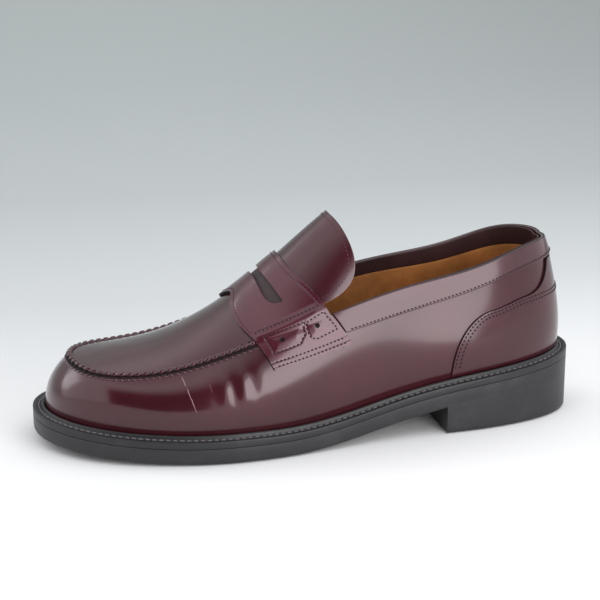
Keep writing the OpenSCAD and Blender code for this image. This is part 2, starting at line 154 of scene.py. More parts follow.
class Last:
    """The skin of the lasted shoe. q runs round it, -1 at the heel, 0 at the toe and 1 at the heel
    again, with - on the lateral side. (s, w) is a place on it: s from toe to heel, w 0 on the instep
    line, +-1 on the seam ridge or topline and +-2 on the feather line over the welt."""

    BALL_W, HEEL_W = 0.1075, 0.073
    TOE_SPRING, HEEL_RISE = 5.5 * MM, 22 * MM
    SOLE_T, WELT_T, WELT_W, RIDGE_H = 8.8 * MM, 4 * MM, 6.9 * MM, 1.6 * MM
    RIDGE_Z = SOLE_T + WELT_T + RIDGE_H
    BACK_H, INSTEP_H = 62.3 * MM, 40 * MM
    TIP = 0.012
    OUT = {-1: (0.727, 0.69, 0.649, 0.6, 0.538, 0.486, 0.521, 0.646, 0.731, 0.839, 0.961),
           1: (0.727, 0.697, 0.656, 0.594, 0.494, 0.377, 0.425, 0.628, 0.747, 0.855, 0.961)}
    OUT_TURN = (6.7, 6.4, 5.6, 4, 1.6, 0.3, 0, 0, 0, 0, 0)
    RIM = {-1: (0.595, 0.597, 0.492, 0.397, 0.353, 0.353, 0.384, 0.454, 0.546, 0.617, 0.685),
           1: (0.595, 0.558, 0.433, 0.359, 0.317, 0.321, 0.381, 0.464, 0.556, 0.622, 0.685)}
    RIM_TURN = (6, 5.4, 4.5, 3.3, 1.6, 0.5, 0, 0, 0, 0, 0)
    RIM_H = (0.455, 0.437, 0.452, 0.526, 0.709, 0.882, 0.915, 0.919, 1.015, 1.034, 1.02)
    RISE = (0, 0.1, 0.42, 0.7, 0.85, 1)
    FOOT_PULL = (11, 12, 13, 14, 16.5, 19, 20, 20, 20, 20, 20)
    FOOT_LEAN = (88, 86.5, 84, 82.5, 82, 82, 79.5, 78, 79, 81.5, 85)
    RIM_PULL = (10, 11.5, 14, 16.5, 19.5, 20, 20, 22, 25, 26, 25)
    RIM_LEAN = (42, 38.5, 38, 43, 55, 70, 82, 88, 85.5, 80, 75)
    ARCH_H = (0, 0.048, 0.132, 0.213, 0.495, 1.035, 1.44)
    ARCH_LEAN = (25, 22, 22, 27, 47, 68, 77)
    STRAP_FRONT = (0.395, 0.385, 0.383, 0.39, 0.408, 0.427)
    STRAP_REAR = (0.452, 0.4545, 0.4625, 0.482, 0.506, 0.528)
    STRAP_REACH = 1.333
    NOSE = 0.012
    TONGUE_END = (0.513, 0.521, 0.5315, 0.5388, 0.531, 0.498)
    BAND_DEPTH = (1, 1.12, 0.93, 0.77, 0.68, 0.66)
    BAND_SHARE = 0.2
    SEAM_END = 0.447
    RIDGE_W, RIDGE_HALF, STRAP_RIDGE, STRAP_CROWN = 0.955, 0.07, 0.9 * MM, 0.8 * MM
    BACK_TUCK = 4 * MM
    RIM_TOE, RIM_BACK = 20.7 * MM, 13 * MM  # how far the rim's ends stand in from the sole's

    def __init__(self):
        s = np.linspace(0, 1, 11)
        width = mix(self.BALL_W, self.HEEL_W, ramp((s - 0.4) / 0.3))
        self.out_w = {k: width * self.OUT[k] for k in self.OUT}
        self.rim_w = {k: width * self.RIM[k] for k in self.RIM}
        xs = np.linspace(-0.5, 0.5, 17) * SOLE_L
        toe = self.TOE_SPRING * np.clip((-0.2 * SOLE_L - xs) / (0.3 * SOLE_L), 0, 1) ** 1.8
        heel = self.HEEL_RISE * curve(np.clip((xs / SOLE_L + 0.1) / 0.6, 0, 1), self.RISE)
        self.lift = np.where(xs < -0.1 * SOLE_L, toe, np.maximum(heel, 0))
        self.mid_y = 0.0
        y = self.outline(np.linspace(-1, 1, 121))[:, 1]
        self.mid_y = (y.max() + y.min()) / 2

    @staticmethod
    def wrap(q):
        q = np.asarray(q, float)
        return np.where(q > 1, q - 2, np.where(q < -1, q + 2, q))

    def around(self, q, widths, turn):
        """y of a line round the shoe, from its half widths and its centre's turn to one side."""
        s = np.abs(q)
        side = np.where(q < 0, -1, 1)
        w = np.where(q < 0, curve(s, widths[-1]), curve(s, widths[1]))
        return MM * curve(s, turn) + side * w * np.sin(math.pi * s) - self.mid_y

    def outline(self, q):
        q = self.wrap(q)
        x = -SOLE_L / 2 * np.cos(math.pi * np.abs(q))
        return np.stack([x, self.around(q, self.out_w, self.OUT_TURN)], -1)

    def outward(self, q):
        d = self.outline(np.asarray(q) + 1e-3) - self.outline(np.asarray(q) - 1e-3)
        return unit(np.stack([-d[..., 1], d[..., 0]], -1))

    def bottom_z(self, x):
        return curve(np.asarray(x) / SOLE_L + 0.5, self.lift)

    def on_sole(self, q, depth, height):
        p = self.outline(q) - np.asarray(depth)[..., None] * self.outward(q)
        return np.concatenate([p, (self.bottom_z(p[..., 0]) + height)[..., None]], -1)

    def feather(self, q):
        return self.on_sole(q, self.WELT_W, self.RIDGE_Z)

    def rim(self, q):
        q = self.wrap(q)
        s = np.abs(q)
        x = mix(-SOLE_L / 2 + self.RIM_TOE, SOLE_L / 2 - self.RIM_BACK, (1 - np.cos(math.pi * s)) / 2)
        x = x - self.BACK_TUCK * np.clip((s - 0.75) / 0.25, 0, None) ** 2
        y = self.around(q, self.rim_w, self.RIM_TURN)
        return np.stack([x, y, self.bottom_z(x) + self.RIDGE_Z + self.BACK_H * curve(s, self.RIM_H)], -1)

    def pull(self, q, length, lean):
        n = self.outward(q)
        a = np.radians(lean)
        return MM * np.stack([length * n[..., 0] * np.cos(a), length * n[..., 1] * np.cos(a),
                              length * np.sin(a)], -1)

    def wall(self, q, t):
        q, t = np.broadcast_arrays(np.asarray(q, float), np.asarray(t, float))
        s = np.abs(self.wrap(q))
        foot, rim = self.feather(q), self.rim(q)
        low = foot + self.pull(q, curve(s, self.FOOT_PULL), curve(s, self.FOOT_LEAN))
        high = rim - self.pull(q, curve(s, self.RIM_PULL), 180 - curve(s, self.RIM_LEAN))
        p = bezier(foot, low, high, rim, np.maximum(t, 0))
        p[..., 2] += 0.04 * np.minimum(t, 0)
        return p

    def arch(self, s, v):
        s, v = np.broadcast_arrays(np.asarray(s, float), np.asarray(v, float))
        a, b = self.rim(-s), self.rim(s)
        lean = np.radians(curve(s / 0.6, self.ARCH_LEAN))
        h = self.INSTEP_H * curve(s / 0.6, self.ARCH_H) / 0.75
        p = np.stack([0 * h, h / np.tan(lean), h], -1)
        return bezier(a, a + p, b + p * (1, -1, 1), b, (v + 1) / 2)

    def wall_normal(self, q, t, e=2e-3):
        u = np.maximum(t, e)
        return unit(np.cross(self.wall(q, u + e) - self.wall(q, u - e),
                             self.wall(q + e, u) - self.wall(q - e, u)))

    def arch_normal(self, s, v, e=2e-3):
        return unit(np.cross(self.arch(s + e, v) - self.arch(s - e, v),
                             self.arch(s, v + e) - self.arch(s, v - e)))

    def mitre(self, q):
        side = np.where(self.wrap(q) < 0, -1.0, 1.0)
        a = self.wall_normal(q, np.ones_like(q))
        b = self.arch_normal(np.maximum(np.abs(self.wrap(q)), self.TIP), side)
        return (a + b) / (1 + (a * b).sum(-1, keepdims=True))

    def on_wall(self, q, t, depth=0.0):
        q, t = np.broadcast_arrays(np.asarray(q, float), np.asarray(t, float))
        n = self.wall_normal(q, t)
        k = ramp((t - 0.8) / 0.2) * ramp((0.57 - np.abs(self.wrap(q))) / 0.04)
        return self.wall(q, t) + np.asarray(depth)[..., None] * mix(n, self.mitre(q), k[..., None])

    def on_arch(self, s, v, depth=0.0):
        s, v = np.broadcast_arrays(np.asarray(s, float), np.asarray(v, float))
        k = ramp((np.abs(v) - 0.8) / 0.2)
        out = mix(self.arch_normal(s, v), self.mitre(np.sign(v) * s), k[..., None])
        return self.arch(s, v) + np.asarray(depth)[..., None] * out

    def on_skin(self, s, w, depth=0.0):
        s, w, depth = np.broadcast_arrays(*(np.asarray(a, float) for a in (s, w, depth)))
        top = np.abs(w) <= 1
        p = np.empty(s.shape + (3,))
        p[top] = self.on_arch(s[top], w[top], depth[top])
        p[~top] = self.on_wall(np.sign(w[~top]) * s[~top], 2 - np.abs(w[~top]), depth[~top])
        return p

    def strap_front(self, w):
        return curve(np.sqrt(w * w + self.NOSE) / self.STRAP_REACH, self.STRAP_FRONT)

    def strap_rear(self, w):
        return curve(np.sqrt(w * w + self.NOSE) / self.STRAP_REACH, self.STRAP_REAR)

    def strap_rise(self, s, w):
        """The ridge that the hidden seam pushes up in the strap, and its bow over the instep."""
        ridge = np.clip(1 - ((np.abs(w) - self.RIDGE_W + 0.11 * (s - 0.44)) / self.RIDGE_HALF) ** 2, 0, None)
        return self.STRAP_RIDGE * ridge ** 2 + self.STRAP_CROWN * np.clip(1 - (w / 0.8) ** 2, 0, None) ** 2

    def band_low(self, s):
        return 1 - self.BAND_SHARE * curve((s - 0.5) / 0.5, self.BAND_DEPTH)

    def counter_base(self, s):
        """Height on the wall of the double row round the counter cover."""
        return 0.58 * np.sqrt(np.clip(1 - (np.clip(0.735 - s, 0, None) / 0.0725) ** 2, 0, None)) \
            + 0.03 * ramp((s - 0.735) / 0.07)

    def counter_top(self, s):
        return self.counter_base(s) + 0.238 * np.clip((s - 0.8) / 0.105, 0, 1) ** 2.5

    def lining_depth(self, q):
        s = np.abs(self.wrap(q))
        return (1.6 + 0.9 * np.maximum(ramp((0.3 - s) / 0.08), ramp((s - 0.6) / 0.08))) * MM


LAST = Last()


# ---- mesh tools ----
def pick_none():
    """Leaves nothing selected, so that the next operator acts on the new piece alone."""
    bpy.ops.object.select_all(action="DESELECT")


def active(piece):
    pick_none()
    piece.select_set(True)
    bpy.context.view_layer.objects.active = piece


def coords(piece):
    co = np.empty(3 * len(piece.data.vertices))
    piece.data.vertices.foreach_get("co", co)
    return co.reshape(-1, 3)


def set_coords(piece, co):
    piece.data.vertices.foreach_set("co", np.ascontiguousarray(co, float).ravel())
    piece.data.update()


def apply_modifier(piece, kind, **settings):
    active(piece)
    mod = piece.modifiers.new(kind.title(), kind)
    for key, value in settings.items():
        setattr(mod, key, value)
    bpy.ops.object.modifier_apply(modifier=mod.name)


def edit(piece, *steps):
    """Runs edit-mode operators, each a (function, keywords) pair, on the whole piece."""
    active(piece)
    bpy.ops.object.mode_set(mode="EDIT")
    bpy.ops.mesh.select_all(action="SELECT")
    for step, settings in steps:
        step(**settings)
    bpy.ops.object.mode_set(mode="OBJECT")


def outward_normals(piece):
    edit(piece, (bpy.ops.mesh.remove_doubles, {"threshold": 1e-6}),
         (bpy.ops.mesh.normals_make_consistent, {"inside": False}))


def skin_piece(name, nu, nv, place, flip=False):
    """A flat grid that is laid on a surface: place takes u and v from 0 to 1."""
    pick_none()
    bpy.ops.mesh.primitive_grid_add(x_subdivisions=nu, y_subdivisions=nv, size=2)
    piece = bpy.context.object
    piece.name = piece.data.name = name
    flat = coords(piece)
    set_coords(piece, place((flat[:, 0] + 1) / 2, (flat[:, 1] + 1) / 2))
    if flip:
        edit(piece, (bpy.ops.mesh.flip_normals, {}))
    return piece


CUT_LINING = 0.2 * MM  # rounding of the linings' cut edges


def round_edges(piece, width, turn=50, **settings):
    """Bevels the edges that turn by more than so many degrees."""
    apply_modifier(piece, "BEVEL", width=width, segments=2, limit_method="ANGLE",
                   angle_limit=math.radians(turn), **settings)


def thicken(piece, thickness, edge=None, looks=()):
    """Gives a sheet its thickness inwards and rounds its cut edges, which the second of two looks dyes near
    black: real edge dye that also paints the shadow line under the edges.
    """
    for look in looks:
        piece.data.materials.append(finish_of(look))
    apply_modifier(piece, "SOLIDIFY", thickness=thickness, offset=-1, use_even_offset=True,
                   material_offset_rim=max(0, len(looks) - 1))
    edge = sizes().edge_round if edge is None else edge
    if edge:
        round_edges(piece, edge, use_clamp_overlap=True)


def finish(piece, look, slot, *nodes, angle=40):
    """Shades, dresses and fastens a finished piece, which stands in for the CAD nodes that are named."""
    active(piece)
    bpy.ops.object.shade_smooth_by_angle(angle=math.radians(angle))
    if not piece.data.materials:
        piece.data.materials.append(finish_of(look))
    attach(piece, "root")
    if nodes:
        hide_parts(*nodes)
    return piece


def loft(name, path, capped=False):
    """A skin over rings of points, joined back to the first ring, or left open and capped at its ends."""
    rings, sides = path.shape[:2]
    spans = rings - 1 if capped else rings
    pick_none()
    bpy.ops.mesh.primitive_grid_add(x_subdivisions=spans, y_subdivisions=sides, size=2)
    piece = bpy.context.object
    piece.name = piece.data.name = name
    flat = (coords(piece) + 1) / 2
    i = np.rint(flat[:, 0] * spans).astype(int)
    j = np.rint(flat[:, 1] * sides).astype(int)
    set_coords(piece, path[i % rings, j % sides])
    edit(piece, (bpy.ops.mesh.remove_doubles, {"threshold": 1e-6}))
    if capped:
        edit(piece, (bpy.ops.mesh.fill_holes, {"sides": 0}))
    outward_normals(piece)
    return piece


def sole_ring(name, n, section):
    """A moulded band all round the sole, from a section of (inset, height) points in millimetres."""
    q = (np.arange(n) * 2 / n - 1)[:, None]
    inset, height = np.array(section).T[:, None, :] * MM
    return loft(name, LAST.on_sole(q + 0 * inset, inset + 0 * q, height))


def sole_slab(name, s, edge):
    """A slab across the sole, from the (inset, height, share of the sole's lift) points of its edge."""
    inset, height, share = np.array(edge).T[:, None, :]
    inset, height = inset * MM, height * MM
    sides = []
    for k in LATERAL, MEDIAL:
        q = k * np.asarray(s)[:, None]
        p = LAST.on_sole(q + 0 * inset, inset + 0 * q, 0.0)
        p[..., 2] = p[..., 2] * share + height
        sides.append(p)
    return loft(name, np.concatenate([sides[0], sides[1][:, ::-1]], 1), capped=True)


def resample(points, step, shift=0.5):
    """Points at an even step along a line, with their spacing made to fit it."""
    length = np.r_[0, np.cumsum(np.linalg.norm(np.diff(points[:, :3], axis=0), axis=1))]
    n = max(1, int(round(length[-1] / step)))
    at = (np.arange(n) + shift) * length[-1] / n
    return np.stack([np.interp(at, length, points[:, k]) for k in range(points.shape[1])], 1), length[-1] / n


def stitch_row(name, lines, step, width, look, slot, fill=0.66, lift=0.18, shift=0.5):
    """Rows of thread. Each line is an array of points with their surface normals; a stitch is one
    rounded bar that fills a share of its step, stands up by a share of its width and dives into the
    leather at both ends."""
    pick_none()
    bpy.ops.mesh.primitive_uv_sphere_add(segments=6, ring_count=6, radius=1)
    piece = bpy.context.object
    piece.name = piece.data.name = name
    bar = coords(piece)[:, [2, 0, 1]]
    faces = [tuple(p.vertices) for p in piece.data.polygons]
    bar[:, 0] = np.sign(bar[:, 0]) * np.abs(bar[:, 0]) ** 0.6
    verts, polys = [], []
    for line in lines:
        both, pitch = resample(line, step, shift)
        p, n = both[:, :3], unit(both[:, 3:])
        along = unit(np.gradient(p, axis=0)) if len(p) > 1 else unit(line[-1:, :3] - line[:1, :3])
        along = unit(along - (along * n).sum(1, keepdims=True) * n)
        across = np.cross(n, along)
        size = np.array([pitch * fill / 2, width / 2, width / 2])
        for c, a, b, d in zip(p, along, across, n):
            local = bar * size
            local[:, 2] += width * lift - 0.5 * width * bar[:, 0] ** 2
            polys += [tuple(len(verts) + k for k in f) for f in faces]
            verts.extend(c + local[:, :1] * a + local[:, 1:2] * b + local[:, 2:] * d)
    mesh = bpy.data.meshes.new(name)
    mesh.from_pydata(verts, [], polys)
    old = piece.data
    piece.data = mesh
    bpy.data.meshes.remove(old)
    return finish(piece, look, slot, angle=60)


# ---- materials ----
class Value:
    """A shader socket that number maths can be written on."""

    def __init__(self, shader, socket):
        self.shader = shader
        self.socket = socket

    def _math(self, operation, *inputs):
        return self.shader.add("ShaderNodeMath", {"operation": operation}, dict(enumerate(inputs)))

    def __add__(self, other):
        return self._math("ADD", self, other)

    def __radd__(self, other):
        return self._math("ADD", other, self)

    def __sub__(self, other):
        return self._math("SUBTRACT", self, other)

    def __rsub__(self, other):
        return self._math("SUBTRACT", other, self)

    def __mul__(self, other):
        return self._math("MULTIPLY", self, other)

    def __rmul__(self, other):
        return self._math("MULTIPLY", other, self)

    def __abs__(self):
        return self._math("ABSOLUTE", self)


class Shader:
    """A node material, or a world, that is put together one node at a time."""

    def __init__(self, name, world=False):
        self.material = (bpy.data.worlds if world else bpy.data.materials).new(name)
        self.material.use_nodes = True
        self.tree = self.material.node_tree
        self.surface = self.tree.nodes["Background" if world else "Principled BSDF"]
        self.place = self.add("ShaderNodeTexCoord", output="Generated" if world else "Object")

    def add(self, kind, settings=None, inputs=None, output=0):
        """Adds a node: settings are set first, then inputs are set or linked, and one output comes back."""
        node = self.tree.nodes.new(kind)
        for key, value in (settings or {}).items():
            if key == "stops":
                self._stops(node.color_ramp, value)
            else:
                setattr(node, key, value)
        for key, value in (inputs or {}).items():
            self._feed(node.inputs[key], value)
        return Value(self, node.outputs[output])

    @staticmethod
    def _stops(gradient, stops):
        while len(gradient.elements) < len(stops):
            gradient.elements.new(0.5)
        for element, (position, colour) in zip(gradient.elements, stops):
            element.position = position
            element.color = (*colour, 1)

    def _feed(self, socket, value):
        if isinstance(value, Value):
            self.tree.links.new(value.socket, socket)
        else:
            socket.default_value = value

    def set(self, **inputs):
        """Sets or links the surface's own sockets: base_color=... is Base Color."""
        for key, value in inputs.items():
            name = key.replace("_", " ").title().replace("Ior", "IOR")
            self._feed(self.surface.inputs[name], value)

    def noise(self, scale, detail=3.0, roughness=0.5):
        return self.add("ShaderNodeTexNoise", {}, {"Vector": self.place, "Scale": scale, "Detail": detail,
                                                   "Roughness": roughness})

    def cells(self, scale):
        """Distance to the edge of the nearest cell."""
        return self.add("ShaderNodeTexVoronoi", {"feature": "DISTANCE_TO_EDGE"},
                        {"Vector": self.place, "Scale": scale})

    def between(self, value, low, high):
        """0 under low and 1 over high, smooth between."""
        return self.add("ShaderNodeMapRange", {"interpolation_type": "SMOOTHSTEP"},
                        {"Value": value, "From Min": low, "From Max": high})

    def blend(self, factor, a, b):
        def colour(c):
            return (*c, 1) if isinstance(c, tuple) and len(c) == 3 else c
        return self.add("ShaderNodeMix", {"data_type": "RGBA"}, {0: factor, 6: colour(a), 7: colour(b)},
                        output=2)

    def bump(self, height, distance, strength=1.0, under=None):
        inputs = {"Height": height, "Distance": distance, "Strength": strength}
        if under:
            inputs["Normal"] = under
        return self.add("ShaderNodeBump", {}, inputs)

    def axis(self, name):
        return self.add("ShaderNodeSeparateXYZ", {}, {0: self.place}, output="XYZ".index(name))


def shade(colour, k):
    return tuple(min(1.0, c * k) for c in colour)


# Two fine crease marks: x at the top, the heights of both ends, turn, half width and strength.
MARKS = ((-0.0754, 0.0445, 0.0265, 0.33, 0.34 * MM, 1.0), (-0.0621, 0.0412, 0.0360, 0.30, 0.22 * MM, 0.6))


def wear_marks(m):
    """Share of worn finish along the crease marks on the outer side of the vamp."""
    x, y, z = m.axis("X"), m.axis("Y"), m.axis("Z")
    wobble = (m.noise(330, 3) - 0.5) * 1.5 * MM
    share = 0.0
    for at_x, top, low, turn, width, weight in MARKS:
        near = 1 - m.between(abs(x - at_x + (z - top) * turn + wobble), 0.0, width)
        ends = 1 - m.between(z, top - 1.5 * MM, top)
        share = near * m.between(z, low, low + 2 * MM) * ends * weight + share
    return share * m.between(m.noise(420, 2), 0.3, 0.5) * (1 - m.between(y, -0.03, -0.02))


def polished_leather(name, colour, gloss=0.3, worn=False):
    """Corrected-grain leather under a hard polish: a deep, faintly waved colour under a clear coat."""
    m = Shader(name)
    cloud = m.between(m.noise(26, 4, 0.55), 0.3, 0.72)
    base = m.blend(cloud, shade(colour, 0.82), shade(colour, 1.18))
    wave = m.bump(m.noise(48, 2, 0.5), 0.3 * MM, 0.22)
    grain = m.bump(m.cells(1500) * 0.5 + m.noise(900, 3, 0.6), 0.02 * MM, 0.3, wave)
    coat = 1.0
    if worn:
        marks = wear_marks(m)
        base = m.blend(marks * 0.75, base, (0.40, 0.25, 0.26))
        coat = 1.0 - 0.8 * marks
        grain = m.bump(1 - marks, 0.2 * MM, 0.6, grain)
    m.set(base_color=base, roughness=gloss + 0.08 * m.between(m.noise(95, 4, 0.6), 0.35, 0.75),
          coat_weight=coat, coat_roughness=0.13, coat_ior=1.5, specular_ior_level=0.24,
          specular_tint=(1.0, 0.36, 0.5, 1.0), normal=grain)
    return m.material


def lining_leather(name, colour, rough=0.55):
    m = Shader(name)
    cloud = m.between(m.noise(55, 4, 0.6), 0.3, 0.72)
    m.set(base_color=m.blend(cloud, shade(colour, 0.7), shade(colour, 1.18)),
          roughness=rough + 0.12 * m.noise(200, 3), specular_ior_level=0.35,
          normal=m.bump(m.cells(1100) + m.noise(2500, 3), 0.06 * MM, 0.4))
    return m.material


def moulded_rubber(name, colour):
    m = Shader(name)
    dust = m.between(m.noise(70, 5, 0.65), 0.45, 0.75)
    m.set(base_color=m.blend(dust, shade(colour, 0.85), shade(colour, 1.5)),
          roughness=0.36 + 0.16 * m.noise(160, 4, 0.6), specular_ior_level=0.5,
          normal=m.bump(m.noise(1400, 4, 0.6), 0.04 * MM, 0.5, m.bump(m.noise(90, 2), 0.3 * MM, 0.2)))
    return m.material


def sewing_thread(name, colour):
    m = Shader(name)
    m.set(base_color=m.blend(m.noise(800, 2), shade(colour, 0.7), shade(colour, 1.5)), roughness=0.5,
          specular_ior_level=0.3, normal=m.bump(m.noise(3500, 2), 0.05 * MM, 0.5))
    return m.material


def plain_stuff(name, colour, rough, scale, metallic=0.0):
    """Board, cork, felt and steel inside the shoe."""
    m = Shader(name)
    speck = m.between(m.noise(scale, 4, 0.7), 0.35, 0.7)
    m.set(base_color=m.blend(speck, shade(colour, 0.65), shade(colour, 1.2)), metallic=metallic,
          roughness=rough + 0.1 * speck, normal=m.bump(m.noise(scale * 2, 3), 0.1 * MM, 0.4))
    return m.material


_made = {}


def finish_of(name):
    """A material by its maker's name, made once from the colours of the panel."""
    if name in _made:
        return _made[name]
    c = colours()
    makers = {
        "upper": lambda: polished_leather("polished_upper", tuple(c.upper), worn=True),
        "strap": lambda: polished_leather("polished_strap", tuple(c.strap), 0.26),
        "lining": lambda: lining_leather("tan_lining", tuple(c.lining)),
        # near-black cut edges: edge dye, darkened further as painted shadow under the edges
        "edge": lambda: lining_leather("edge_dye_and_painted_shadow", (0.010, 0.004, 0.005), 0.6),
        "facing": lambda: lining_leather("dark_facing", tuple(c.facing), 0.45),
        "slot_bed": lambda: lining_leather("unpolished_leather", (0.045, 0.026, 0.028), 0.5),
        "rubber": lambda: moulded_rubber("sole_rubber", tuple(c.rubber)),
        "welt": lambda: moulded_rubber("welt_rubber", shade(tuple(c.rubber), 0.8)),
        "thread": lambda: sewing_thread("upper_thread", tuple(c.thread)),
        # the upper's thread made five times lighter: a painted highlight on the rows along the strap's edges
        # and the tongue
        "highlit_thread": lambda: sewing_thread("edge_thread_painted_highlight", shade(tuple(c.thread), 5)),
        "welt_thread": lambda: sewing_thread("welt_thread", tuple(c.welt_thread)),
        # near-black painted shade: it darkens the seam's channel, the needle pricks and the bottoms of the
        # punched holes
        "hole": lambda: plain_stuff("painted_hole_shade", (0.006, 0.003, 0.004), 0.8, 900),
        "cork": lambda: plain_stuff("pressed_cork", (0.35, 0.2, 0.1), 0.8, 400),
        "board": lambda: plain_stuff("insole_board", (0.5, 0.36, 0.2), 0.75, 250),
        "canvas": lambda: plain_stuff("rib_canvas", (0.62, 0.55, 0.42), 0.85, 900),
        "felt": lambda: plain_stuff("stiff_felt", (0.5, 0.45, 0.35), 0.9, 700),
        "steel": lambda: plain_stuff("shank_steel", (0.5, 0.5, 0.52), 0.35, 300, 1.0),
    }
    _made[name] = makers[name]()
    return _made[name]


# ---- pieces of the bottom ----
class Step(bpy.types.Operator):
    """Base of every building step."""

    bl_options = {"REGISTER", "UNDO"}

    def execute(self, context):
        self.build()
        return {"FINISHED"}


class LOAFER_OT_sole(Step):
    """Moulds the outsole, the heel block and the welt"""

    bl_idname = "loafer.sole"
    bl_label = "Sole and heel"

    def build(self):
        s = (1 - np.cos(np.linspace(0, math.pi, 190))) / 2
        edge = [(1.9, 0, 1), (1.0, 0.15, 1), (0.4, 0.6, 1), (0.08, 1.3, 1), (0, 2.2, 1), (0, 5, 1),
                (0, 8.4, 1), (0.05, 8.62, 1), (0.25, 8.74, 1)]
        finish(sole_slab("outsole_body", s, edge), "rubber", "sole_rubber", "outsole")
        section = [(0.25, 8.86), (0.05, 8.98), (0, 9.2), (0, 12.2), (0.12, 12.6), (0.5, 12.8), (1.2, 12.84),
                   (2.0, 12.8), (2.35, 12.6), (2.7, 12.36), (3.3, 12.28), (3.9, 12.36), (4.25, 12.62),
                   (4.5, 13.1), (4.65, 13.8), (4.85, 14.2), (5.25, 14.42), (5.8, 14.4), (6.3, 14.15),
                   (6.65, 13.6), (6.75, 12), (6.8, 8.9)]
        finish(sole_ring("welt_band", 300, section), "welt", "welt_rubber", "welt")
        heel_x = float(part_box("heel_block")[0][0])
        breast = math.acos(-2 * heel_x / SOLE_L) / math.pi
        s = breast + (1 - breast) * np.sin(np.linspace(0, math.pi / 2, 70))
        edge = [(1.3, 0, 0), (0.4, 0.25, 0), (0, 1.1, 0), (0, 3.0, 0), (0, -2.0, 1), (0, 1.95, 1),
                (0.12, 1.25, 1), (0.44, 0.56, 1), (1.04, 0.1, 1), (1.94, -0.05, 1)]
        block = sole_slab("heel", s, edge)
        co = coords(block)
        co[co[:, 0] < heel_x + 0.8 * MM, 0] = heel_x
        set_coords(block, co)
        round_edges(block, 0.5 * MM, turn=60)
        finish(block, "rubber", "sole_rubber", "heel_block")


# ---- pieces of the upper ----
def wall_top(s):
    """Where the wall's edge ends under the rolled seam."""
    share = ramp((LAST.SEAM_END + 0.04 - s) / 0.04)
    return 1 - share * 1.3 / (3 * curve(s, LAST.RIM_PULL))


def flex_folds(q, t):
    """Soft upright folds behind the ball, where the shoe bends at each step."""
    s = np.abs(q)
    from_fold = s - 0.3985 + 0.044 * (t - 0.57)
    wave = -np.sin(2 * math.pi * from_fold / 0.0263) * np.exp(-((from_fold + 0.0145) / 0.024) ** 2)
    return sizes().crease_h * wave * np.exp(-((t - 0.56) / 0.19) ** 2) * np.where(q < 0, 1, 0.6)


class LOAFER_OT_skirt(Step):
    """Lasts the skirt, the one wall of leather from toe to heel"""

    bl_idname = "loafer.skirt"
    bl_label = "Skirt"

    def build(self):
        def place(u, v):
            q = 0.9985 * (2 * u - 1)
            t = -0.085 + 1.085 * v
            return LAST.on_wall(q, np.where(t > 0, t * wall_top(np.abs(q)), t), flex_folds(q, t))
        piece = skin_piece("skirt_leather", 680, 50, place, flip=True)
        thicken(piece, sizes().leather)
        finish(piece, "upper", "upper_leather", "skirt")


class LOAFER_OT_apron(Step):
    """Lays the apron over the toes and rolls its hand-sewn seam"""

    bl_idname = "loafer.apron"
    bl_label = "Apron and rolled seam"

    def build(self):
        piece = skin_piece("apron_leather", 360, 46, apron_place)
        outward_normals(piece)
        thicken(piece, sizes().leather)
        finish(piece, "upper", "upper_leather", "apron")
        rolled_seam()


def apron_place(u, v):
    """The apron's edge follows the seam in u and its surface runs in to the middle line in v."""
    q = (LAST.SEAM_END - 0.001) * (2 * u - 1)
    q = np.where(np.abs(q) < 1e-6, 1e-6, q)
    edge = LAST.rim(q)
    tip = LAST.rim(np.zeros(1))[0, 0]
    reach = 26 * MM
    mid_x = tip + np.sqrt((edge[:, 0] - tip) ** 2 + reach ** 2) * 0.999
    end_x = LAST.rim(np.array([LAST.SEAM_END]))[0, 0]
    stretch = math.hypot(end_x - tip, reach) - reach
    mid_x = tip + (mid_x - tip - reach) * (end_x - tip - reach) / stretch + reach
    s_mid = s_of_x(mid_x)
    mid_y = (LAST.rim(s_mid)[:, 1] + LAST.rim(-s_mid)[:, 1]) / 2
    gap = 1.25 * MM / np.maximum(np.hypot(mid_x - edge[:, 0], mid_y - edge[:, 1]), 1e-6)
    k = gap + (1 - gap) * v
    x = edge[:, 0] + k * (mid_x - edge[:, 0])
    y = edge[:, 1] + k * (mid_y - edge[:, 1])
    s = s_of_x(x)
    lat, med = LAST.rim(-s), LAST.rim(s)
    lean = np.radians(curve(s / 0.6, LAST.ARCH_LEAN))
    p = LAST.INSTEP_H * curve(s / 0.6, LAST.ARCH_H) / 0.75 / np.tan(lean)
    low, high = np.zeros_like(y), np.ones_like(y)
    for _ in range(36):
        t = (low + high) / 2
        at = bezier(lat[:, 1:2], lat[:, 1:2] + p[:, None], med[:, 1:2] - p[:, None], med[:, 1:2], t)[:, 0]
        low, high = np.where(at < y, t, low), np.where(at < y, high, t)
    return LAST.on_arch(s, low + high - 1)


def s_of_x(x):
    """The share from toe to heel at which the rim stands at x."""
    x0, x1 = -SOLE_L / 2 + LAST.RIM_TOE, SOLE_L / 2 - LAST.RIM_BACK
    return np.arccos(np.clip(1 - 2 * (x - x0) / (x1 - x0), -1, 1)) / math.pi


def seam_path(offset):
    """Points along the seam, offset - down the wall or + in over the apron, with their up and across."""
    q = np.linspace(-0.405, 0.405, 1700)
    along = unit(LAST.rim(q + 1e-3) - LAST.rim(q - 1e-3))
    if offset < 0:
        centre = LAST.on_wall(q, 1 + offset / (3 * MM * curve(np.abs(q), LAST.RIM_PULL)))
        up = unit(LAST.wall_normal(q, 0.96 + 0 * q))
        return centre, up, np.cross(along, up)
    centre, up = LAST.rim(q), unit(LAST.mitre(q))
    across = np.cross(along, up)
    inward = np.sign((across * (LAST.arch(np.abs(q), 0.5 * np.sign(q)) - centre)).sum(-1, keepdims=True))
    return centre + across * offset * inward, up, across


